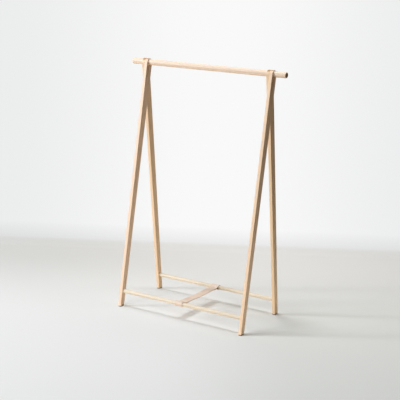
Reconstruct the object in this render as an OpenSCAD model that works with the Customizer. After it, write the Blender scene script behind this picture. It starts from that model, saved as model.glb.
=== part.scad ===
// Folding wooden clothes rack: two identical ladder frames lean on each other
// and turn about one round hanging rail, which runs through all four leg heads.
// A leather strap looped round the two low stretchers stops the frames opening.
// Frame: X along the rail, Y from front to back, Z up, origin on the floor under the rail.

/* [Overall] */
// Height of the hanging rail's axis above the floor
rail_h = 1500; // [1200:10:1700]
// Distance between the front and rear feet, centre to centre
foot_spread = 460; // [360:10:560]
// Distance between the middle planes of the two legs of one frame
frame_pitch = 860; // [600:10:1100]

/* [Hanging rail] */
// Diameter of the hanging rail
rail_d = 35; // [28:1:38]
// Length of the hanging rail
rail_l = 1060; // [960:10:1300]
// Radius that rounds each end of the hanging rail
rail_round = 8; // [1:0.5:12]

/* [Legs] */
// Thickness of a leg, along the rail
leg_t = 20; // [18:1:28]
// Width of a leg at its rounded head
head_w = 52; // [50:1:64]
// Width of a leg at the floor
foot_w = 36; // [30:1:44]
// Height of the rail's axis above the centre of a leg head's rounding
bore_rise = 4; // [0:0.5:6]
// Radius that eases the edges of a leg
edge_r = 3; // [1:0.5:4]
// Gap between the two legs that lie side by side
leg_gap = 0.5; // [0.4:0.1:2]

/* [Stretchers] */
// Diameter of the two low stretchers
stretcher_d = 25; // [18:1:28]
// Height of the stretchers' axes above the floor
stretcher_z = 97; // [80:1:200]
// Depth of the blind mortise that a stretcher's end is glued into
mortise_depth = 14; // [10:1:16]
// Chamfer round each hidden end of a stretcher
stretcher_chamfer = 1.5; // [1:0.5:3]

/* [Strap] */
// Width of the leather strap
strap_w = 54; // [30:1:80]
// Thickness of the leather
strap_t = 3; // [2:0.5:4]
// Distance from the middle of the rack to the middle of the strap, along the rail
strap_x = -2; // [-100:1:100]
// How far the middle of the strap hangs below the meeting places of its layers
strap_sag = 4; // [0:0.5:12]
// Distance from a stretcher's axis to where the strap meets its own turned-under end
loop_reach = 34; // [26:1:50]
// Distance from a stretcher's axis to the end of the turned-under leather
flap_reach = 68; // [60:1:100]

/* [Rail pins] */
// Diameter of the pins that hold the rail in the front legs
pin_d = 6; // [4:0.5:8]
// Length of a rail pin
pin_l = 20; // [16:1:24]
// How far a pin's end is set below the back of the leg head
pin_set = 0.5; // [0:0.1:2]

/* [Foot pads] */
// Thickness of the felt pads
pad_t = 5; // [2:0.5:8]
// Distance from the edge of a foot to the edge of its pad
pad_inset = 1; // [0.5:0.5:4]
// Radius of a pad's corners
pad_corner = 3; // [1:0.5:5]

/* [Fits] */
// Gap all round between the rail and the bores in the leg heads
running_gap = 0.08; // [0.03:0.01:0.1]
// Gap all round between a glued piece and its hole
glue_gap = 0.05; // [0.02:0.01:0.1]
// Gap between a blind hole's bottom and the piece in it
hole_bottom_gap = 0.5; // [0.2:0.1:1]
// Gap between the leather and the stretchers
leather_gap = 0.3; // [0.2:0.1:1]

/* [Hidden] */
$fn = 72;

maple = "#E9CFA9";
maple_end = "#C9A277";
leather = "#D9B690";
felt = "#8C7B6B";

// which way a frame leans and is shifted along the rail: -1 for the front frame, 1 for the rear
front = -1;
rear = 1;
// which side of the rack a leg stands on: -1 on the left, 1 on the right
left = -1;
right = 1;

head_r = head_w / 2;
rail_r = rail_d / 2;
stretcher_r = stretcher_d / 2;
lean = atan(foot_spread / 2 / rail_h);
leg_reach = rail_h / cos(lean);
// distance from the rail's axis to the back of a leg's head, square to the leg
pin_mouth = sqrt(pow(head_r, 2) - pow(bore_rise, 2));
stretcher_reach = (rail_h - stretcher_z) / cos(lean);
stretcher_y = (rail_h - stretcher_z) * tan(lean);
frame_shift = (leg_t + leg_gap) / 2;
// straight pieces that a leg's round head and each of its eased edges are drawn with
hull_fn = 48;
edge_steps = 5;
// straight pieces that an arc and a bow of the strap's side view are drawn with
loop_steps = 24;
band_steps = 12;
// straight pieces that the rounding of a rail end is drawn with
round_steps = 8;
// extra length at a leg's foot, which the level cut takes off again
foot_spare = foot_w;
// length by which a cutting shape passes the surface that it cuts
past = 1;

function leg_x(which, side) = side * frame_pitch / 2 - which * frame_shift;

// A disc as thick as a leg, lying across the X axis, with its two edges eased.
module eased_disc(r) {
    function edge(x, y, from) = [for (i = [0 : edge_steps]) let (a = from + 90 * i / edge_steps)
        [x + edge_r * cos(a), y + edge_r * sin(a)]];
    rotate([0, 90, 0]) rotate_extrude($fn = hull_fn)
        polygon(concat([[0, -leg_t / 2]], edge(r - edge_r, edge_r - leg_t / 2, -90),
                       edge(r - edge_r, leg_t / 2 - edge_r, 0), [[0, leg_t / 2]]));
}

// One leg with the rail's axis at the origin, hanging straight down.
// inner is the side that faces the middle of the rack, and pinned legs hold the rail.
module hanging_leg(inner, pinned) {
    reach = leg_reach + foot_spare;
    narrowing = (head_w - foot_w) / 2 / (leg_reach - bore_rise);
    difference() {
        hull() {
            translate([0, 0, -bore_rise]) eased_disc(head_r);
            translate([0, 0, -reach]) eased_disc(head_r - narrowing * (reach - bore_rise));
        }
        rotate([0, 90, 0])
            cylinder(h = leg_t + 2 * past, r = rail_r + running_gap, center = true);
        translate([inner * (leg_t / 2 - mortise_depth), 0, -stretcher_reach])
            rotate([0, inner * 90, 0])
                cylinder(h = mortise_depth + past, r = stretcher_r + glue_gap);
        if (pinned)
            rotate([-90, 0, 0]) cylinder(h = head_r + past, r = pin_d / 2 + glue_gap);
    }
}

module leg(which, side) {
    color(maple) difference() {
        translate([leg_x(which, side), 0, rail_h]) rotate([which * lean, 0, 0])
            hanging_leg(-side, which == front);
        translate([leg_x(which, side) - leg_t, which * foot_spread / 2 - foot_spare * 2,
                   pad_t - foot_spare * 2])
            cube([2 * leg_t, foot_spare * 4, foot_spare * 2]);
    }
}

// A round bar along X from x0 to x1. Its ends are rounded in so many straight steps, and one
// step makes a chamfer.
module round_bar(x0, x1, r, ease, steps) {
    end = [for (i = [0 : steps]) let (a = 90 * i / steps)
        [r - ease + ease * cos(a), ease - ease * sin(a)]];
    translate([x0, 0, 0]) rotate([0, 90, 0]) rotate_extrude()
        polygon(concat([[0, x1 - x0], [0, 0]], [for (i = [steps : -1 : 0]) end[i]],
                       [for (q = end) [q[0], x1 - x0 - q[1]]]));
}

// The place and direction of a rail pin, with the pin lying along the local Z axis.
module at_rail_pin(side) {
    translate([leg_x(front, side), 0, rail_h]) rotate([-90 + front * lean, 0, 0])
        translate([0, 0, pin_mouth - pin_set - pin_l]) children();
}

module hanging_rail() {
    color(maple) difference() {
        translate([0, 0, rail_h]) round_bar(-rail_l / 2, rail_l / 2, rail_r, rail_round, round_steps);
        for (side = [left, right]) at_rail_pin(side) translate([0, 0, -hole_bottom_gap])
            cylinder(h = rail_r + pin_l, r = pin_d / 2 + glue_gap);
    }
}

module rail_pin(side) {
    color(maple_end) at_rail_pin(side) cylinder(h = pin_l, r = pin_d / 2);
}

module stretcher(which) {
    seat = mortise_depth - hole_bottom_gap - leg_t / 2;
    color(maple) translate([0, which * stretcher_y, stretcher_z])
        round_bar(leg_x(which, left) - seat, leg_x(which, right) + seat,
                  stretcher_r, stretcher_chamfer, 1);
}

module foot_pad(which, side) {
    size_x = leg_t - 2 * pad_inset;
    size_y = foot_w / cos(lean) - 2 * pad_inset;
    color(felt) translate([leg_x(which, side), which * (rail_h - pad_t) * tan(lean), 0]) {
        translate([-size_x / 2, pad_corner - size_y / 2, 0])
            cube([size_x, size_y - 2 * pad_corner, pad_t]);
        translate([pad_corner - size_x / 2, -size_y / 2, 0])
            cube([size_x - 2 * pad_corner, size_y, pad_t]);
        for (sx = [-1, 1], sy = [-1, 1])
            translate([sx * (size_x / 2 - pad_corner), sy * (size_y / 2 - pad_corner), 0])
                cylinder(h = pad_t, r = pad_corner);
    }
}

// Height of the top of the band over the stretchers' axes, at a distance across from the
// middle: between its loops the strap hangs in a shallow bow.
function strap_top(y) =
    strap_t - strap_sag * pow(1 - pow(y / (stretcher_y - loop_reach), 2), 2);
function arc(r, from, to) =
    [for (i = [0 : loop_steps]) let (a = from + (to - from) * i / loop_steps)
        [stretcher_y + r * cos(a), r * sin(a)]];
function layer(down, from, to) =
    [for (i = [0 : band_steps]) let (y = from + (to - from) * i / band_steps)
        [y, strap_top(y) - down]];
function mirrored(points) = [for (i = [len(points) - 1 : -1 : 0]) [-points[i][0], points[i][1]]];

// Side view of the strap. At each end the leather rises over its stretcher, runs round the far
// side and comes back from below, which leaves a drop-shaped loop. The two layers meet at
// loop_reach, level with the stretchers' axes, and are sewn together as far as flap_reach.
module strap_outline() {
    r_in = stretcher_r + leather_gap;
    meet = stretcher_y - loop_reach;
    flap = stretcher_y - flap_reach;
    // direction from the axis to where the leather leaves the round
    leave = 180 - acos(r_in / loop_reach);
    half = concat(layer(0, 0, meet), arc(r_in + strap_t, leave, -leave),
                  layer(2 * strap_t, meet, flap), layer(strap_t, flap, 0));
    difference() {
        polygon(concat(half, mirrored(half)));
        for (side = [0, 1]) mirror([side, 0])
            polygon(concat([[meet, 0]], arc(r_in, leave, -leave)));
    }
}

module leather_strap() {
    color(leather) translate([strap_x, 0, stretcher_z]) rotate([90, 0, 90])
        linear_extrude(height = strap_w, center = true) strap_outline();
}

hanging_rail();
leg(front, left);  // front_left_leg
leg(front, right);  // front_right_leg
leg(rear, left);  // rear_left_leg
leg(rear, right);  // rear_right_leg
stretcher(front);  // front_stretcher
stretcher(rear);  // rear_stretcher
leather_strap();
rail_pin(left);  // left_rail_pin
rail_pin(right);  // right_rail_pin
foot_pad(front, left);  // front_left_foot_pad
foot_pad(front, right);  // front_right_foot_pad
foot_pad(rear, left);  // rear_left_foot_pad
foot_pad(rear, right);  // rear_right_foot_pad
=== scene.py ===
# A folding maple clothes rack with a leather strap, dressed around its fixed frame.
# Metres, +X along the hanging rail, +Y from front to back, +Z up, floor at z = 0.
import math

import bmesh
import bpy
from mathutils import Matrix, Vector


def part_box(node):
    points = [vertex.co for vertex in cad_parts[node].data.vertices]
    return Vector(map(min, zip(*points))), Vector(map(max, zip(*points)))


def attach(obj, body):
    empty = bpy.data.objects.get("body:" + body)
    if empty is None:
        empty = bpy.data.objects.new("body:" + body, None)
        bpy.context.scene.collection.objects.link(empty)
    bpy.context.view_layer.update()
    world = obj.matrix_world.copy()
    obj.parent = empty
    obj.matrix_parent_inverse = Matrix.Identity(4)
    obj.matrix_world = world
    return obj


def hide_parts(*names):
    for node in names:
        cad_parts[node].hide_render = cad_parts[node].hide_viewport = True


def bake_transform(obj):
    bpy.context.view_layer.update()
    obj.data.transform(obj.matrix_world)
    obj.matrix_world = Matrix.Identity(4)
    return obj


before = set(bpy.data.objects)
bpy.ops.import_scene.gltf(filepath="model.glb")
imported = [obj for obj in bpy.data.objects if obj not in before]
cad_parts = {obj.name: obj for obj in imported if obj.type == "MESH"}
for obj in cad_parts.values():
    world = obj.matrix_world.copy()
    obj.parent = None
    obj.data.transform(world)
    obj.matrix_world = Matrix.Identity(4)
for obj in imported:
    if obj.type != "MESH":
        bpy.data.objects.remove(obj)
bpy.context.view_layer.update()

# The camera stands to the right of the rack's front, a little above head height, and looks
# down at it through a long lens. It leans by about two degrees, as the picture does.
EYE = Vector((3.284, -5.397, 2.111))
YAW, PITCH, ROLL = math.radians(31.43), math.radians(12.60), math.radians(2.175)
LENS_MM, SENSOR_MM = 96.13, 36.0
look = Vector((-math.sin(YAW) * math.cos(PITCH), math.cos(YAW) * math.cos(PITCH), -math.sin(PITCH)))
level = Vector((math.cos(YAW), math.sin(YAW), 0))
upright = level.cross(look)
side = math.cos(ROLL) * level + math.sin(ROLL) * upright
top = math.cos(ROLL) * upright - math.sin(ROLL) * level
camera = bpy.data.objects.new("camera", bpy.data.cameras.new("camera"))
camera.data.lens = LENS_MM
camera.data.sensor_width = SENSOR_MM
camera.matrix_world = Matrix.Translation(EYE) @ Matrix((side, top, -look)).transposed().to_4x4()
bpy.context.scene.collection.objects.link(camera)
bpy.context.scene.camera = camera
bpy.context.scene.view_settings.view_transform = "Standard"

# The studio: one sweep of matt white paper, flat under the rack, that turns up into a wall
# behind it. Places on it are given as depth, away from the camera, and as side, to its right.
FLOOR_FRONT, FLOOR_HALF = -9.0, 9.0
TURN_START, TURN_RADIUS, TURN_STEPS = 1.35, 0.7, 16
WALL_TOP, WALL_HALF = 5.0, 2.6
away = Vector((-math.sin(YAW), math.cos(YAW), 0))


def linear(hex_colour, alpha=1.0):
    """An sRGB hex colour as the linear colour that a shader takes."""
    parts = [int(hex_colour[i:i + 2], 16) / 255 for i in (1, 3, 5)]
    return [c / 12.92 if c <= 0.04045 else ((c + 0.055) / 1.055) ** 2.4 for c in parts] + [alpha]


def add(material, kind, inputs=(), **settings):
    """Adds one shader node. inputs maps a socket's name or number to a value or to another socket.
    In a Map Range node, 1 and 2 are the range taken in and 3 and 4 the range given out. In a
    Mix node of colours, 0 is the share of colour 7 over colour 6."""
    node = material.node_tree.nodes.new(kind)
    for key, value in settings.items():
        setattr(node, key, value)
    for key, value in dict(inputs).items():
        if isinstance(value, bpy.types.NodeSocket):
            material.node_tree.links.new(value, node.inputs[key])
        else:
            node.inputs[key].default_value = value
    return node


def new_material(name):
    """An empty node material and its output node."""
    material = bpy.data.materials.new(name)
    material.use_nodes = True
    material.node_tree.nodes.clear()
    return material, add(material, "ShaderNodeOutputMaterial")


def new_object(name, mesh, place=None):
    """A mesh object in the scene. place moves the mesh, and the object stays at the origin."""
    if place is not None:
        mesh.transform(place)
    obj = bpy.data.objects.new(name, mesh)
    bpy.context.scene.collection.objects.link(obj)
    return obj


profile = [(FLOOR_FRONT, 0.0, FLOOR_HALF), (TURN_START, 0.0, FLOOR_HALF), (TURN_START, 0.0, WALL_HALF)]
for i in range(1, TURN_STEPS + 1):
    turn = math.pi / 2 * i / TURN_STEPS
    profile.append((TURN_START + TURN_RADIUS * math.sin(turn), TURN_RADIUS * (1 - math.cos(turn)),
                    WALL_HALF))
profile.append((TURN_START + TURN_RADIUS, WALL_TOP, WALL_HALF))
verts = [away * depth + level * across + Vector((0, 0, height))
         for depth, height, half in profile for across in (-half, half)]
faces = [(2 * i, 2 * i + 1, 2 * i + 3, 2 * i + 2) for i in range(len(profile) - 1) if i != 1]
mesh = bpy.data.meshes.new("paper_sweep")
mesh.from_pydata([tuple(v) for v in verts], [], faces)
mesh.shade_smooth()
paper_sweep = new_object("paper_sweep", mesh)


# The paper's painted light: where each change starts and ends, in metres, the shares of
# painted glow that the floor shows, left and right, and the painted shade where the wall starts.
FRONT_TO_BACK = -0.1, 1.2
LEFT_TO_RIGHT_IN_FRONT = -0.3, 0.6
LEFT_TO_RIGHT_BEHIND = -1.2, 0.0
THROW_MIDDLE, THROW_FADE = (0, -0.6, 0), (1.4, 3.4)
FLOOR_GLOW_LEFT, FLOOR_GLOW_RIGHT = 0.4, 0.15
WALL_STARTS_AT, SHADE_ENDS_AT, SHADE = 0.03, 0.1, 0.84
WALL_MIDDLE, WALL_FADE = 0.1, (0.1, 1.7)
STUDIO_ENDS = TURN_START + TURN_RADIUS, 3.4


def background_paper():
    """Matt seamless paper: no gloss, so that shadows on it are soft and grey. For the light it
    throws up at the rack it is warm and pale near the rack and dark further off, a painted
    falloff of that bounce. The camera sees a paler paper, lightest in front on the left and
    darker elsewhere, a painted falloff of the light, to which the floor adds a painted glow of
    that tone, so that shadows stay light. The wall shows only a painted glow, brightest in the
    middle and darker with painted shade where it rises. From behind, the wall lets the view
    through."""
    material, out = new_material("background_paper")
    spot = add(material, "ShaderNodeTexCoord")
    deep = add(material, "ShaderNodeVectorMath", {0: spot.outputs["Object"], 1: away},
               operation="DOT_PRODUCT")
    place = add(material, "ShaderNodeSeparateXYZ", {0: spot.outputs["Object"]})
    before = add(material, "ShaderNodeMapRange", {0: deep.outputs["Value"],
                 1: FRONT_TO_BACK[0], 2: FRONT_TO_BACK[1]}, interpolation_type="SMOOTHSTEP")
    beyond = add(material, "ShaderNodeMapRange", {0: place.outputs[2], 2: WALL_STARTS_AT},
                 interpolation_type="SMOOTHSTEP")
    sideways = add(material, "ShaderNodeVectorMath", {0: spot.outputs["Object"], 1: level},
                   operation="DOT_PRODUCT")
    front_right = add(material, "ShaderNodeMapRange", {0: sideways.outputs["Value"],
                      1: LEFT_TO_RIGHT_IN_FRONT[0], 2: LEFT_TO_RIGHT_IN_FRONT[1]},
                      interpolation_type="SMOOTHSTEP")
    back_right = add(material, "ShaderNodeMapRange", {0: sideways.outputs["Value"],
                     1: LEFT_TO_RIGHT_BEHIND[0], 2: LEFT_TO_RIGHT_BEHIND[1]},
                     interpolation_type="SMOOTHSTEP")
    # Painted falloff of the light on the floor as the camera sees it: lightest in front on the left.
    near = add(material, "ShaderNodeMix", {0: front_right.outputs[0], 6: linear("#EAE9E4"),
               7: linear("#DBDAD2")}, data_type="RGBA")
    far = add(material, "ShaderNodeMix", {0: back_right.outputs[0], 6: linear("#D5D4CE"),
              7: linear("#DFDDD7")}, data_type="RGBA")
    shown = add(material, "ShaderNodeMix", {0: before.outputs[0], 6: near.outputs[2],
                7: far.outputs[2]}, data_type="RGBA")
    flat = add(material, "ShaderNodeCombineXYZ", {0: place.outputs[0], 1: place.outputs[1]})
    reach = add(material, "ShaderNodeVectorMath", {0: flat.outputs[0]}, operation="LENGTH")
    off = add(material, "ShaderNodeVectorMath", {0: flat.outputs[0], 1: THROW_MIDDLE},
              operation="DISTANCE")
    spent = add(material, "ShaderNodeMapRange", {0: off.outputs["Value"], 1: THROW_FADE[0],
                2: THROW_FADE[1]}, interpolation_type="SMOOTHSTEP")
    # Painted falloff of the light the paper throws up at the rack: warm and pale near it, dark further
    # off.
    thrown = add(material, "ShaderNodeMix", {0: spent.outputs[0], 6: linear("#FCF0DE"),
                 7: linear("#7A6650")}, data_type="RGBA")
    ray = add(material, "ShaderNodeLightPath")
    tint = add(material, "ShaderNodeMix", {0: ray.outputs["Is Camera Ray"], 6: thrown.outputs[2],
               7: shown.outputs[2]}, data_type="RGBA")
    paper = add(material, "ShaderNodeBsdfDiffuse", {"Color": tint.outputs[2], "Roughness": 0.0})
    aside = add(material, "ShaderNodeMath", {0: sideways.outputs["Value"], 1: WALL_MIDDLE},
                operation="SUBTRACT")
    aside = add(material, "ShaderNodeMath", {0: aside.outputs[0]}, operation="ABSOLUTE")
    dim = add(material, "ShaderNodeMapRange", {0: aside.outputs[0], 1: WALL_FADE[0],
              2: WALL_FADE[1]}, interpolation_type="SMOOTHSTEP")
    distant = add(material, "ShaderNodeMapRange", {0: reach.outputs["Value"], 1: STUDIO_ENDS[0],
                  2: STUDIO_ENDS[1]}, interpolation_type="SMOOTHSTEP")
    dim = add(material, "ShaderNodeMath", {0: dim.outputs[0], 1: distant.outputs[0]},
              operation="MAXIMUM")
    # The wall's painted glow: brightest in its middle.
    wall = add(material, "ShaderNodeMix", {0: dim.outputs[0], 6: linear("#F9F9F9"),
               7: linear("#ECEDED")}, data_type="RGBA")
    # Painted shade: the glow is dimmer on the floor and low in the turn, where the wall rises.
    rise = add(material, "ShaderNodeMapRange", {0: place.outputs[2], 2: SHADE_ENDS_AT, 3: SHADE,
               4: 1.0})
    rise = add(material, "ShaderNodeMath", {0: rise.outputs[0], 1: distant.outputs[0]},
               operation="MAXIMUM")
    plain = add(material, "ShaderNodeMath", {0: beyond.outputs[0], 1: distant.outputs[0]},
                operation="MAXIMUM")
    tone = add(material, "ShaderNodeMix", {0: plain.outputs[0], 6: shown.outputs[2],
               7: wall.outputs[2]}, data_type="RGBA")
    glow = add(material, "ShaderNodeEmission", {"Color": tone.outputs[2], "Strength": rise.outputs[0]})
    # The share of painted glow that the floor shows, more on the left.
    floor_glow_share = add(material, "ShaderNodeMapRange", {0: front_right.outputs[0], 3: FLOOR_GLOW_LEFT,
              4: FLOOR_GLOW_RIGHT})
    share = add(material, "ShaderNodeMapRange", {0: plain.outputs[0], 3: floor_glow_share.outputs[0], 4: 1.0})
    seen = add(material, "ShaderNodeMath", {0: ray.outputs["Is Camera Ray"], 1: share.outputs[0]},
               operation="MULTIPLY")
    body = add(material, "ShaderNodeMixShader", {0: seen.outputs[0], 1: paper.outputs[0],
                                                 2: glow.outputs[0]})
    clear = add(material, "ShaderNodeBsdfTransparent", {"Color": linear("#FFFFFF")})
    back = add(material, "ShaderNodeNewGeometry")
    both = add(material, "ShaderNodeMixShader", {0: back.outputs["Backfacing"], 1: body.outputs[0],
                                                 2: clear.outputs[0]})
    material.node_tree.links.new(both.outputs[0], out.inputs[0])
    return material


paper_sweep.data.materials.append(background_paper())


# The studio's light: a tall window low on the left, brightest in a narrow strip that draws the
# feet's long shadows, and a small source almost right above that draws the stretchers' thin
# ones. A weak bounce in front, a wash on the paper's turn and the pale room fill the rest.
DAYLIGHT = "#EEF4FF"
ROOM_FILL = 0.01


def soft_light(name, place, target, width, height, power, colour="#FFFFFF"):
    """A large rectangular diffuser that shines from place towards target."""
    data = bpy.data.lights.new(name, "AREA")
    data.color = linear(colour)[:3]
    data.shape = "RECTANGLE"
    data.size, data.size_y = width, height
    data.energy = power
    obj = bpy.data.objects.new(name, data)
    obj.matrix_world = (Matrix.Translation(place)
                        @ (Vector(target) - Vector(place)).to_track_quat("-Z", "Y").to_matrix().to_4x4())
    bpy.context.scene.collection.objects.link(obj)


soft_light("left_window", (-6.0, -5.2, 3.05), (0, 0, 0.8), 2.9, 4.1, 410, DAYLIGHT)
soft_light("window_strip", (-6.3, -4.7, 3.02), (0, 0, 0.8), 0.8, 4.1, 320, DAYLIGHT)
soft_light("overhead_diffuser", (-0.6, -0.6, 7.8), (0, 0, 0), 1.1, 1.1, 290, DAYLIGHT)
soft_light("front_bounce", (-0.6, -5.2, 2.4), (0, 0, 0.8), 3.0, 2.0, 50)
soft_light("wall_wash", (0.9, 1.0, 3.9), (0.1, 2.4, 0.6), 3.0, 1.2, 52)
world = bpy.data.worlds.new("pale_room")
world.use_nodes = True
room = world.node_tree.nodes["Background"]
room.inputs["Color"].default_value = linear("#ECEDED")
ray = add(world, "ShaderNodeLightPath")
strength = add(world, "ShaderNodeMapRange", {0: ray.outputs["Is Camera Ray"], 3: ROOM_FILL, 4: 1.0})
world.node_tree.links.new(strength.outputs[0], room.inputs["Strength"])
bpy.context.scene.world = world


# The legs: flat tapered boards of hard maple, planed, with round heads and sanded edges, bored
# for the rail and mortised near the foot for a stretcher, with a pin's hole in the front ones.
# The two legs of a frame mirror each other, and the rear frame is the front one turned round.
MM = 0.001
EASED_EDGE = 1.5 * MM
EASED_FOOT = 0.8 * MM
EASED_BORE = 2.5 * MM
EASING_STEPS = 6
HEAD_WIDTH = 52.0 * MM
FOOT_WIDTH = 36.0 * MM
MORTISE_DEPTH = 14.0 * MM
GLUE_GAP = 0.05 * MM
BORE_GAP = 0.08 * MM
PIN_HOLE = 6.1 * MM
DRILL_REACH = 1.5
MORTISE_PATCH = 1.3
HEAD_STEPS = 64
TURNED_STEPS = 96
SHARPEST_SMOOTHED = math.radians(30)
rail_low, rail_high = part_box("hanging_rail")
rail_centre = (rail_low + rail_high) / 2
rail_radius = (rail_high.z - rail_low.z) / 2
stretcher_low, stretcher_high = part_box("rear_stretcher")
stretcher_centre = (stretcher_low + stretcher_high) / 2
stretcher_radius = (stretcher_high.z - stretcher_low.z) / 2
pad_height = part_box("front_left_foot_pad")[1].z
drop = rail_centre.z - stretcher_centre.z
lean = math.atan2(stretcher_centre.y, drop)
head_radius = HEAD_WIDTH / 2
bore_rise = (head_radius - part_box("front_left_leg")[1].z + rail_centre.z) / math.cos(lean)
leg_reach = rail_centre.z / math.cos(lean)
taper = math.asin((head_radius - FOOT_WIDTH / 2) / (leg_reach - bore_rise))


def circle_points(radius, start, end, steps, centre=(0.0, 0.0)):
    """Points along an arc in a leg's side view, from one angle to another."""
    angles = [start + (end - start) * i / steps for i in range(steps + 1)]
    return [(centre[0] + radius * math.cos(a), centre[1] + radius * math.sin(a)) for a in angles]


def leg_mesh(name, half_thickness, inner, tilt):
    """One leg with the rail's axis at the origin and its foot down -Z, cut level for the floor.
    inner is the side with the mortise, and tilt the angle at which the leg will stand. Each
    edge's weight is its easing as a share of EASED_BORE."""
    bm = bmesh.new()
    weights = bm.edges.layers.float.new("bevel_weight_edge")

    def side_y(z):
        """Half the board's width at a height."""
        return (head_radius + (z + bore_rise) * math.sin(taper)) / math.cos(taper)

    def floor_z(y):
        """Height of the top of the foot pad, in the leg's own frame."""
        return (pad_height - rail_centre.z - y * math.sin(tilt)) / math.cos(tilt)

    def points(flat, x):
        """Corners of a side view, set at x."""
        return [bm.verts.new((x, y, z)) for y, z in flat]

    def tube(rings):
        """Joins rings of as many points each into a wall."""
        for a, b in zip(rings, rings[1:]):
            for i in range(len(a)):
                j = (i + 1) % len(a)
                bm.faces.new((a[i], a[j], b[j], b[i]))

    seat = -drop / math.cos(lean)
    patch = (seat + MORTISE_PATCH * stretcher_radius, seat - MORTISE_PATCH * stretcher_radius)
    head = circle_points(head_radius, -taper, math.pi + taper, HEAD_STEPS, (0, -bore_rise))
    bore_top = circle_points(rail_radius + BORE_GAP, -taper, math.pi + taper, HEAD_STEPS)
    bore_low = circle_points(rail_radius + BORE_GAP, math.pi + taper, 2 * math.pi - taper,
                             HEAD_STEPS)[1:-1]
    foot_y = FOOT_WIDTH / 2 / math.cos(taper)
    left = [(-side_y(z), z) for z in patch] + [(-foot_y, floor_z(-foot_y))]
    right = [(side_y(z), z) for z in patch] + [(foot_y, floor_z(foot_y))]
    outline = head + left + right[::-1]
    n = len(head)
    rims, bores = [], []
    for x in (-half_thickness, half_thickness):
        rim = points(outline, x)
        bore = points(bore_top + bore_low, x)
        rims.append(rim)
        bores.append(bore)
        for i in range(n - 1):
            bm.faces.new((rim[i], rim[i + 1], bore[i + 1], bore[i]))
        low = bore[n - 1:] + [bore[0]]
        left_rim, right_rim = rim[n:n + 3], rim[n + 3:][::-1]
        bm.faces.new([rim[n - 1]] + low + [rim[0], right_rim[0], left_rim[0]])
        if x * inner > 0:
            radius = stretcher_radius + GLUE_GAP
            ring = circle_points(radius, math.pi / 2, math.pi * 5 / 2, HEAD_STEPS, (0, seat))[:-1]
            mouth = points(ring, x)
            bottom = points(ring, x - inner * MORTISE_DEPTH)
            half = HEAD_STEPS // 2
            bm.faces.new([left_rim[0]] + mouth[:half + 1] + [left_rim[1]])
            bm.faces.new([right_rim[1]] + mouth[half:] + [mouth[0], right_rim[0]])
            bm.faces.new([left_rim[0], mouth[0], right_rim[0]])
            bm.faces.new([left_rim[1], mouth[half], right_rim[1]])
            tube([mouth, bottom])
            bm.faces.new(bottom)
        else:
            bm.faces.new((left_rim[0], left_rim[1], right_rim[1], right_rim[0]))
        bm.faces.new((left_rim[1], left_rim[2], right_rim[2], right_rim[1]))
    tube(rims)
    tube(bores)
    bmesh.ops.recalc_face_normals(bm, faces=bm.faces)
    for loops, weight in ((rims, EASED_EDGE / EASED_BORE), (bores, 1.0)):
        for loop in loops:
            for i in range(len(loop)):
                edge = bm.edges.get((loop[i], loop[(i + 1) % len(loop)]))
                edge[weights] = weight
    foot = n + 2
    for a, b in ((rims[0][foot], rims[1][foot]), (rims[0][foot + 1], rims[1][foot + 1]),
                 (rims[0][foot], rims[0][foot + 1]), (rims[1][foot], rims[1][foot + 1])):
        bm.edges.get((a, b))[weights] = EASED_FOOT / EASED_BORE
    mesh = bpy.data.meshes.new(name)
    bm.to_mesh(mesh)
    bm.free()
    mesh.shade_smooth()
    return mesh


def shaped_by(obj, kind, **settings):
    """Applies one modifier to a piece and keeps the result as its mesh."""
    modifier = obj.modifiers.new("shaping", kind)
    for key, value in settings.items():
        setattr(modifier, key, value)
    bpy.context.view_layer.update()
    result = bpy.data.meshes.new_from_object(obj.evaluated_get(bpy.context.evaluated_depsgraph_get()))
    obj.modifiers.clear()
    obj.data = result


def smooth_but_for_corners(obj, angle):
    """Shades a piece smooth except across edges sharper than the angle."""
    obj.data.shade_smooth()
    obj.data.set_sharp_from_angle(angle=angle)


def turned_mesh(name, outline):
    """A solid turned from its outline, a list of (distance from the axis, place along Z)."""
    rings = [[(r * math.cos(a), r * math.sin(a), z)
              for a in (2 * math.pi * i / TURNED_STEPS for i in range(TURNED_STEPS))]
             for r, z in outline]
    verts = [p for ring in rings for p in ring]
    n = TURNED_STEPS
    faces = [(k * n + i, k * n + (i + 1) % n, (k + 1) * n + (i + 1) % n, (k + 1) * n + i)
             for k in range(len(rings) - 1) for i in range(n)]
    faces += [tuple(range(n))[::-1], tuple((len(rings) - 1) * n + i for i in range(n))]
    mesh = bpy.data.meshes.new(name)
    mesh.from_pydata(verts, [], faces)
    mesh.validate()
    return mesh


# Hard maple, planed, sanded and oiled: pale and even, with faint growth rings a few
# millimetres apart, fine fibre along the length, tiny darker flecks and darker end grain.
# Fibre and flecks are drawn coarser than in the tree, so that they show.
RING_SPACING = 3.2 * MM
FIBRE_WIDTH = 0.5 * MM
FIBRE_LENGTH = 22.0 * MM
FLECK_WIDTH = 0.7 * MM
FLECK_LENGTH = 2.6 * MM
CLOUD_SIZE = 90.0 * MM
CLOUD_LENGTH = 750.0 * MM
GRAIN_DRIFT = 30.0 * MM
FIBRE_DEPTH = 0.06 * MM
LOG_HEART = 0.11, 0.07
NEXT_BOARD = 0.013, 0.37
RING_SHOWS, FLECK_SHOWS, END_SHOWS = 0.55, 0.6, 0.92
FIBRE_SHADE, CLOUD_SHADE = (0.94, 1.04), (0.97, 1.03)
OILED_ROUGHNESS = 0.38, 0.52


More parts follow.
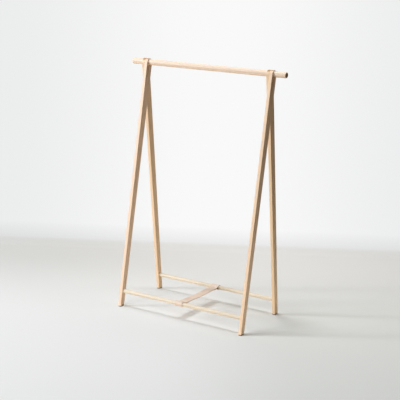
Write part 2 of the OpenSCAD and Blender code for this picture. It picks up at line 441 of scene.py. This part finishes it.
def maple(name, seed, stand, pale="#E9CBA7", late="#DDBB91", fleck="#CFA97B", end="#B98C5C"):
    """Maple for one piece. stand is the turn that stands its grain upright, and seed picks
    another board."""
    material, out = new_material(name)
    spot = add(material, "ShaderNodeTexCoord")
    board = add(material, "ShaderNodeMapping", {"Vector": spot.outputs["Object"], "Rotation": stand,
                "Location": (LOG_HEART[0] + NEXT_BOARD[0] * seed, LOG_HEART[1], NEXT_BOARD[1] * seed)})
    drift = add(material, "ShaderNodeTexNoise", {"Scale": 1.0, "Detail": 2.0,
                "Vector": add(material, "ShaderNodeVectorMath", {0: board.outputs[0],
                              1: (1 / CLOUD_SIZE, 1 / CLOUD_SIZE, 1 / CLOUD_LENGTH)},
                              operation="MULTIPLY").outputs[0]})
    axes = add(material, "ShaderNodeSeparateXYZ", {0: board.outputs[0]})
    flat = add(material, "ShaderNodeCombineXYZ", {0: axes.outputs[0], 1: axes.outputs[1]})
    radius = add(material, "ShaderNodeVectorMath", {0: flat.outputs[0]}, operation="LENGTH")
    bent = add(material, "ShaderNodeMath", {0: drift.outputs[0], 1: GRAIN_DRIFT,
               2: radius.outputs["Value"]}, operation="MULTIPLY_ADD")
    turn = add(material, "ShaderNodeMath", {0: bent.outputs[0], 1: 2 * math.pi / RING_SPACING},
               operation="MULTIPLY")
    wave = add(material, "ShaderNodeMath", {0: turn.outputs[0]}, operation="SINE")
    ring = add(material, "ShaderNodeMapRange", {0: wave.outputs[0], 1: 0.1, 2: 1.0, 4: RING_SHOWS},
               interpolation_type="SMOOTHSTEP")
    fibre = add(material, "ShaderNodeTexNoise", {"Scale": 1.0, "Detail": 4.0, "Roughness": 0.6,
                "Vector": add(material, "ShaderNodeVectorMath", {0: board.outputs[0],
                              1: (1 / FIBRE_WIDTH, 1 / FIBRE_WIDTH, 1 / FIBRE_LENGTH)},
                              operation="MULTIPLY").outputs[0]})
    dash = add(material, "ShaderNodeTexNoise", {"Scale": 1.0, "Detail": 1.0,
               "Vector": add(material, "ShaderNodeVectorMath", {0: board.outputs[0],
                             1: (1 / FLECK_WIDTH, 1 / FLECK_WIDTH, 1 / FLECK_LENGTH)},
                             operation="MULTIPLY").outputs[0]})
    flecks = add(material, "ShaderNodeMapRange", {0: dash.outputs[0], 1: 0.64, 2: 0.74,
                 4: FLECK_SHOWS})
    tint = add(material, "ShaderNodeMix", {0: ring.outputs[0], 6: linear(pale), 7: linear(late)},
               data_type="RGBA")
    tint = add(material, "ShaderNodeMix", {0: flecks.outputs[0], 6: tint.outputs[2], 7: linear(fleck)},
               data_type="RGBA")
    shade = add(material, "ShaderNodeMapRange", {0: fibre.outputs[0], 1: 0.25, 2: 0.75,
                3: FIBRE_SHADE[0], 4: FIBRE_SHADE[1]})
    cloud = add(material, "ShaderNodeMapRange", {0: drift.outputs[0], 1: 0.3, 2: 0.7,
                3: CLOUD_SHADE[0], 4: CLOUD_SHADE[1]})
    both = add(material, "ShaderNodeMath", {0: shade.outputs[0], 1: cloud.outputs[0]},
               operation="MULTIPLY")
    face = add(material, "ShaderNodeMapping", {"Vector": spot.outputs["Normal"], "Rotation": stand},
               vector_type="VECTOR")
    across = add(material, "ShaderNodeSeparateXYZ", {0: face.outputs[0]})
    facing = add(material, "ShaderNodeMath", {0: across.outputs[2]}, operation="ABSOLUTE")
    cut = add(material, "ShaderNodeMapRange", {0: facing.outputs[0], 1: 0.6, 2: 0.9, 4: END_SHOWS},
              interpolation_type="SMOOTHSTEP")
    tint = add(material, "ShaderNodeMix", {0: cut.outputs[0], 6: tint.outputs[2], 7: linear(end)},
               data_type="RGBA")
    colour = add(material, "ShaderNodeVectorMath", {0: tint.outputs[2], "Scale": both.outputs[0]},
                 operation="SCALE")
    rough = add(material, "ShaderNodeMapRange", {0: fibre.outputs[0], 1: 0.2, 2: 0.8,
                3: OILED_ROUGHNESS[0], 4: OILED_ROUGHNESS[1]})
    bump = add(material, "ShaderNodeBump", {"Strength": 0.6, "Distance": FIBRE_DEPTH,
                                            "Height": fibre.outputs[0]})
    body = add(material, "ShaderNodeBsdfPrincipled", {"Base Color": colour.outputs[0],
               "Roughness": rough.outputs[0], "IOR": 1.5, "Normal": bump.outputs[0]})
    material.node_tree.links.new(body.outputs[0], out.inputs[0])
    return material


# The four legs are tinted a little differently, given as early wood and late wood: painted light and shade
# for how the light falls on each, the rear right one darkest.
LEG_LIGHT_TINTS = {"front_left_leg": ("#E9CCAF", "#DDBC98"), "front_right_leg": ("#E9CBA9", "#DDBB93"),
              "rear_left_leg": ("#E9CBA7", "#DDBB91"), "rear_right_leg": ("#E5C8A2", "#D9B88C")}

for seed, (name, (pale, late)) in enumerate(LEG_LIGHT_TINTS.items()):
    low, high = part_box(name)
    tilt = lean if name.startswith("rear") else -lean
    inner = 1 if "left" in name else -1
    place = Matrix.Translation((((low + high) / 2).x, 0, rail_centre.z)) @ Matrix.Rotation(tilt, 4, "X")
    leg = new_object(name + "_board", leg_mesh(name, (high.x - low.x) / 2, inner, tilt), place)
    shaped_by(leg, "BEVEL", width=EASED_BORE, segments=EASING_STEPS, limit_method="WEIGHT",
              use_clamp_overlap=False)
    if name.startswith("front"):
        drill = turned_mesh("pin_hole", [(PIN_HOLE / 2, 0), (PIN_HOLE / 2, head_radius * DRILL_REACH)])
        drill = new_object("pin_drill", drill, place @ Matrix.Rotation(-math.pi / 2, 4, "X"))
        shaped_by(leg, "BOOLEAN", operation="DIFFERENCE", solver="EXACT", object=drill)
        bpy.data.objects.remove(drill)
    smooth_but_for_corners(leg, SHARPEST_SMOOTHED)
    shaped_by(leg, "WEIGHTED_NORMAL", keep_sharp=True)
    leg.data.materials.append(maple("oiled_maple_" + name, seed + 1, (-tilt, 0, 0), pale=pale, late=late,
                                    end="#9A7248"))
    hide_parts(name)
    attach(leg, name.split("_")[0] + "_frame")


# The stretchers: thin round maple rods turned on a lathe, with a small chamfer at each end,
# glued into the mortises of their own frame's legs.
STRETCHER_CHAMFER = 1.5 * MM


def rod_outline(half_length, radius, ease, steps):
    """The outline of a rod with rounded ends: steps of 1 gives a plain chamfer."""
    arc = [(radius - ease + ease * math.sin(a), half_length - ease + ease * math.cos(a))
           for a in (math.pi / 2 * i / steps for i in range(steps + 1))]
    upper = arc[::-1]
    return [(r, -z) for r, z in arc] + upper


def along_rail(centre):
    """Lays a piece that was made standing along the rail's direction."""
    return Matrix.Translation(centre) @ Matrix.Rotation(math.pi / 2, 4, "Y")


RAIL_UPRIGHT = (0, -math.pi / 2, 0)

for seed, name in enumerate(("front_stretcher", "rear_stretcher")):
    low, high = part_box(name)
    outline = rod_outline((high.x - low.x) / 2, (high.z - low.z) / 2, STRETCHER_CHAMFER, 1)
    rod = new_object(name + "_rod", turned_mesh(name, outline), along_rail((low + high) / 2))
    smooth_but_for_corners(rod, SHARPEST_SMOOTHED)
    rod.data.materials.append(maple("oiled_maple_" + name, seed + 6, RAIL_UPRIGHT,
                                    pale="#D9CCB5", late="#CFBEA0"))
    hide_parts(name)
    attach(rod, name.split("_")[0] + "_frame")


# The hanging rail: one thick round maple bar, turned, with well rounded ends, pushed
# through all the leg heads and pinned in the front ones.
RAIL_ROUNDING = 6.0 * MM
ROUNDING_STEPS = 12
outline = rod_outline((rail_high.x - rail_low.x) / 2, rail_radius, RAIL_ROUNDING, ROUNDING_STEPS)
rail = new_object("hanging_rail_bar", turned_mesh("hanging_rail", outline), along_rail(rail_centre))
smooth_but_for_corners(rail, SHARPEST_SMOOTHED)
rail.data.materials.append(maple("oiled_maple_hanging_rail", 9, RAIL_UPRIGHT, pale="#E4CCB3",
                                 late="#D9BC9D", fleck="#CBAA8A", end="#8F6840"))
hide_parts("hanging_rail")
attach(rail, "front_frame")


# The rail pins: short maple dowels, one driven through the back of each front leg's head into
# the rail, so that the rail stays in the front frame. Their CAD solids stay as they are.
for seed, name in enumerate(("left_rail_pin", "right_rail_pin")):
    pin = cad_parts[name]
    pin.data.materials.clear()
    pin.data.materials.append(maple("oiled_maple_" + name, seed + 12, (math.pi / 2 + lean, 0, 0)))


# The strap: one band of undyed leather, its ends turned under the stretchers and
# sewn to the band's underside. It lies a little askew and sags between the stretchers.
STRAP_WIDTH = 54.0 * MM
STRAP_THICKNESS = 3.0 * MM
STRAP_GAP = 0.3 * MM
STRAP_SAG = 4.0 * MM
STRAP_SKEW = 4.0 * MM
LOOP_REACH = 34.0 * MM
FLAP_REACH = 68.0 * MM
SEAM_BEND = 16.0 * MM
LAYER_GAP = 0.1 * MM
BURNISHED_EDGE = 1.1 * MM
BURNISHED_CORNER = (1.0, 0.0), (0.35, 0.12), (0.0, 0.9)
STRAP_SHARPEST_SMOOTHED = math.radians(50)
STRAP_COLUMNS = 12
BAND_STEPS, RISE_STEPS, LOOP_STEPS, FLAP_STEPS = 40, 20, 40, 6
strap_low, strap_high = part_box("leather_strap")
strap_x = (strap_low.x + strap_high.x) / 2
half_span = stretcher_centre.y
meet_y = half_span - LOOP_REACH


def strap_rise(y):
    """Height of the middle of the band's thickness over the stretchers' axes."""
    return STRAP_THICKNESS / 2 - STRAP_SAG * (1 - (y / meet_y) ** 2) ** 2


def strap_path():
    """The middle of the leather's thickness from the middle of the rack to the rear flap's end,
    as (y, z): along the band, over the stretcher, round it and back under the band."""
    radius = stretcher_radius + STRAP_GAP + STRAP_THICKNESS / 2
    level_z = STRAP_THICKNESS / 2
    leave = math.pi - math.asin(level_z / LOOP_REACH) - math.acos(radius / math.hypot(LOOP_REACH, level_z))
    slope = -1 / math.tan(leave)
    bend_start = meet_y - SEAM_BEND / 2
    rise = []
    for i in range(1, RISE_STEPS + 1):
        run = (half_span + radius * math.cos(leave) - bend_start) * i / RISE_STEPS
        bent = min(run, SEAM_BEND)
        rise.append((bend_start + run, level_z + slope * (bent ** 2 / 2 / SEAM_BEND + run - bent)))
    band = [(y, strap_rise(y)) for y in (bend_start * i / BAND_STEPS for i in range(BAND_STEPS + 1))]
    loop = [(half_span + radius * math.cos(a), radius * math.sin(a))
            for a in (leave - 2 * leave * i / LOOP_STEPS for i in range(1, LOOP_STEPS))]
    under = STRAP_THICKNESS + LAYER_GAP
    back = [(y, -z - LAYER_GAP) for y, z in rise[::-1]]
    flap_end = half_span - FLAP_REACH
    flap = [(y, strap_rise(y) - under)
            for y in (bend_start + (flap_end - bend_start) * i / FLAP_STEPS
                      for i in range(FLAP_STEPS + 1))]
    return [(y, stretcher_centre.z + z) for y, z in band + rise + loop + back + flap]


def closed_mesh(name, verts, faces):
    """A mesh of closed walls, with every face turned outwards."""
    mesh = bpy.data.meshes.new(name)
    mesh.from_pydata(verts, [], faces)
    mesh.validate()
    bm = bmesh.new()
    bm.from_mesh(mesh)
    bmesh.ops.recalc_face_normals(bm, faces=bm.faces)
    bm.to_mesh(mesh)
    bm.free()
    return mesh


def strap_mesh():
    """Sweeps the leather's section, a rectangle with burnished edges, along its path. The
    corner's points are given as shares of BURNISHED_EDGE in from the side and the face."""
    half = strap_path()
    path = [(-y, z) for y, z in half[:0:-1]] + half
    w, t, e = STRAP_WIDTH / 2, STRAP_THICKNESS / 2, BURNISHED_EDGE
    corner = ([(w - a * e, t - b * e) for a, b in BURNISHED_CORNER]
              + [(w - a * e, -t + b * e) for a, b in BURNISHED_CORNER[::-1]])
    top_row = [((-w + e) + (2 * w - 2 * e) * i / STRAP_COLUMNS, t) for i in range(1, STRAP_COLUMNS)]
    section = ([(-x, z) for x, z in corner[::-1]] + top_row + corner
               + [(x, -z) for x, z in top_row[::-1]])
    verts, count = [], len(section)
    for k, (y, z) in enumerate(path):
        y0, z0 = path[max(k - 1, 0)]
        y1, z1 = path[min(k + 1, len(path) - 1)]
        along = Vector((y1 - y0, z1 - z0)).normalized()
        normal = Vector((-along.y, along.x))
        share = max(-1.0, min(1.0, y / meet_y))
        shift = -STRAP_SKEW / 2 * share
        for x, h in section:
            verts.append((strap_x + shift + x, y + normal.x * h, z + normal.y * h))
    faces = [(k * count + i, k * count + (i + 1) % count, (k + 1) * count + (i + 1) % count,
              (k + 1) * count + i) for k in range(len(path) - 1) for i in range(count)]
    faces += [tuple(range(count))[::-1], tuple((len(path) - 1) * count + i for i in range(count))]
    return closed_mesh("leather_strap", verts, faces)


# Vegetable-tanned leather, undyed: a warm pinkish tan with fine pores and creases, drawn a
# little darker where they sink as painted shade, soft clouds of tone, a dull sheen, and darker
# burnished edges. The pores are drawn larger than real ones, so that they show.
PORE_SIZE = 0.9 * MM
CREASE_SIZE = 6.0 * MM
CLOUDS_PER_METRE = 22.0
HIDE_RELIEF = 0.15 * MM
PORE_SHADE, CREASE_SHADE, EDGE_SHOWS = (0.93, 1.0), (0.96, 1.02), 0.8
HIDE_ROUGHNESS = 0.48, 0.62


def tanned_leather():
    material, out = new_material("vegetable_tanned_leather")
    spot = add(material, "ShaderNodeTexCoord")
    pores = add(material, "ShaderNodeTexVoronoi", {"Vector": spot.outputs["Object"],
                "Scale": 1 / PORE_SIZE, "Randomness": 1.0}, feature="SMOOTH_F1")
    crease = add(material, "ShaderNodeTexNoise", {"Vector": spot.outputs["Object"],
                 "Scale": 1 / CREASE_SIZE, "Detail": 6.0, "Roughness": 0.65})
    cloud = add(material, "ShaderNodeTexNoise", {"Vector": spot.outputs["Object"],
                "Scale": CLOUDS_PER_METRE, "Detail": 3.0})
    tone = add(material, "ShaderNodeMapRange", {0: cloud.outputs[0], 1: 0.35, 2: 0.65})
    tint = add(material, "ShaderNodeMix", {0: tone.outputs[0], 6: linear("#D6BEA7"),
               7: linear("#E0CBB8")}, data_type="RGBA")
    # Painted shade: pores and creases are darker where the bump sinks.
    pit = add(material, "ShaderNodeMapRange", {0: pores.outputs[0], 1: 0.0, 2: 0.35,
              3: PORE_SHADE[0], 4: PORE_SHADE[1]})
    fold = add(material, "ShaderNodeMapRange", {0: crease.outputs[0], 1: 0.3, 2: 0.6,
               3: CREASE_SHADE[0], 4: CREASE_SHADE[1]})
    both = add(material, "ShaderNodeMath", {0: pit.outputs[0], 1: fold.outputs[0]},
               operation="MULTIPLY")
    axes = add(material, "ShaderNodeSeparateXYZ", {0: spot.outputs["Normal"]})
    facing = add(material, "ShaderNodeMath", {0: axes.outputs[0]}, operation="ABSOLUTE")
    edge = add(material, "ShaderNodeMapRange", {0: facing.outputs[0], 1: 0.3, 2: 0.9, 3: 0.0,
               4: EDGE_SHOWS})
    tint = add(material, "ShaderNodeMix", {0: edge.outputs[0], 6: tint.outputs[2],
               7: linear("#C4A183")}, data_type="RGBA")
    colour = add(material, "ShaderNodeVectorMath", {0: tint.outputs[2], "Scale": both.outputs[0]},
                 operation="SCALE")
    grain = add(material, "ShaderNodeMath", {0: crease.outputs[0], 1: 0.6, 2: pores.outputs[0]},
                operation="MULTIPLY_ADD")
    bump = add(material, "ShaderNodeBump", {"Strength": 0.7, "Distance": HIDE_RELIEF,
                                            "Height": grain.outputs[0]})
    rough = add(material, "ShaderNodeMapRange", {0: crease.outputs[0], 3: HIDE_ROUGHNESS[0],
                4: HIDE_ROUGHNESS[1]})
    body = add(material, "ShaderNodeBsdfPrincipled", {"Base Color": colour.outputs[0],
               "Roughness": rough.outputs[0], "IOR": 1.5, "Normal": bump.outputs[0]})
    material.node_tree.links.new(body.outputs[0], out.inputs[0])
    return material


strap = new_object("leather_strap_band", strap_mesh())
smooth_but_for_corners(strap, STRAP_SHARPEST_SMOOTHED)
strap.data.materials.append(tanned_leather())
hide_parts("leather_strap")
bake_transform(strap)


# The strap's seams: two rows of waxed linen thread across each lap, sewn through the band and
# the flap under it. Each stitch is drawn a little thicker than real thread so that it shows.
STITCH_LENGTH = 3.6 * MM
STITCH_PITCH = 4.6 * MM
STITCHES = 11
THREAD_RADIUS = 0.45 * MM
THREAD_SINK = 0.5 * MM
THREAD_RISE = 0.5 * MM
THREAD_SEAT = 0.6
THREAD_SHARPEST_SMOOTHED = math.radians(60)
STITCH_STEPS, THREAD_SIDES = 8, 8
SEAM_INSET = 6.0 * MM
SEAMS = (meet_y - SEAM_INSET, half_span - FLAP_REACH + SEAM_INSET)


def stitching_mesh():
    """Short bent tubes, their ends sunk in the leather, above the band and below the flap."""
    verts, faces = [], []
    steps, sides = STITCH_STEPS, THREAD_SIDES
    for end in (-1, 1):
        for seam_y in SEAMS:
            middle = stretcher_centre.z + strap_rise(seam_y)
            under = middle - STRAP_THICKNESS - LAYER_GAP
            shift = -STRAP_SKEW / 2 * end * seam_y / meet_y
            for surface, up in ((middle + STRAP_THICKNESS / 2, 1), (under - STRAP_THICKNESS / 2, -1)):
                for k in range(STITCHES):
                    x0 = strap_x + shift + (k - (STITCHES - 1) / 2) * STITCH_PITCH
                    first = len(verts)
                    for i in range(steps + 1):
                        run = 2 * i / steps - 1
                        lift = THREAD_RISE - (THREAD_RISE + THREAD_SINK) * run ** 4
                        for j in range(sides):
                            a = 2 * math.pi * j / sides
                            over = lift + THREAD_RADIUS * (math.sin(a) - THREAD_SEAT)
                            verts.append((x0 + run * STITCH_LENGTH / 2,
                                          end * seam_y + THREAD_RADIUS * math.cos(a),
                                          surface + up * over))
                    for i in range(steps):
                        for j in range(sides):
                            a, b = first + i * sides, first + (i + 1) * sides
                            faces.append((a + j, a + (j + 1) % sides, b + (j + 1) % sides, b + j))
                    faces.append(tuple(first + j for j in range(sides))[::-1])
                    faces.append(tuple(first + steps * sides + j for j in range(sides)))
    return closed_mesh("strap_stitching", verts, faces)


# Waxed linen thread: off-white, twisted, with a faint sheen from the wax. The plies are drawn
# as light and dark bands along each stitch, painted light on their ridges and painted shade
# between them. A diagonal wave at a scale of 1 repeats every DIAGONAL_REPEAT metres along X,
# the way of the stitches.
PLY_PITCH = 1.1 * MM
PLY_DEPTH = 0.1 * MM
DIAGONAL_REPEAT = math.pi / 5


def waxed_linen():
    material, out = new_material("waxed_linen_thread")
    spot = add(material, "ShaderNodeTexCoord")
    twist = add(material, "ShaderNodeTexWave", {"Vector": spot.outputs["Object"],
                "Scale": DIAGONAL_REPEAT / PLY_PITCH, "Distortion": 0.6, "Detail": 1.0},
                wave_type="BANDS", bands_direction="DIAGONAL")
    # Painted light on the plies' ridges and painted shade between them, from the wave that makes the bump.
    tint = add(material, "ShaderNodeMix", {0: twist.outputs[1], 6: linear("#D8CAB2"),
               7: linear("#F3EBDA")}, data_type="RGBA")
    bump = add(material, "ShaderNodeBump", {"Strength": 0.6, "Distance": PLY_DEPTH,
                                            "Height": twist.outputs[1]})
    body = add(material, "ShaderNodeBsdfPrincipled", {"Base Color": tint.outputs[2],
               "Roughness": 0.55, "IOR": 1.5, "Normal": bump.outputs[0]})
    material.node_tree.links.new(body.outputs[0], out.inputs[0])
    return material


stitching = new_object("strap_stitching", stitching_mesh())
smooth_but_for_corners(stitching, THREAD_SHARPEST_SMOOTHED)
stitching.data.materials.append(waxed_linen())
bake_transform(stitching)


# The foot pads: pieces of pressed wool felt, cut a little smaller than the feet and glued
# under them. Their CAD solids stay as they are. The mottle is drawn coarser than wool hair,
# so that it shows.
FELT_HAIRS_PER_METRE = 1800.0
FELT_PILE = 0.3 * MM


def wool_felt():
    """Pressed wool felt: matt, mottled grey-brown, with a short fibre pile."""
    material, out = new_material("pressed_wool_felt")
    spot = add(material, "ShaderNodeTexCoord")
    fuzz = add(material, "ShaderNodeTexNoise", {"Vector": spot.outputs["Object"],
               "Scale": FELT_HAIRS_PER_METRE, "Detail": 4.0, "Roughness": 0.7})
    tint = add(material, "ShaderNodeMix", {0: fuzz.outputs[0], 6: linear("#5B4B3E"),
               7: linear("#8A7868")}, data_type="RGBA")
    bump = add(material, "ShaderNodeBump", {"Strength": 0.8, "Distance": FELT_PILE,
                                            "Height": fuzz.outputs[0]})
    body = add(material, "ShaderNodeBsdfPrincipled", {"Base Color": tint.outputs[2],
               "Roughness": 0.95, "Sheen Weight": 0.3, "Normal": bump.outputs[0]})
    material.node_tree.links.new(body.outputs[0], out.inputs[0])
    return material


felt = wool_felt()
for name in ("front_left", "front_right", "rear_left", "rear_right"):
    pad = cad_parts[name + "_foot_pad"]
    pad.data.materials.clear()
    pad.data.materials.append(felt)
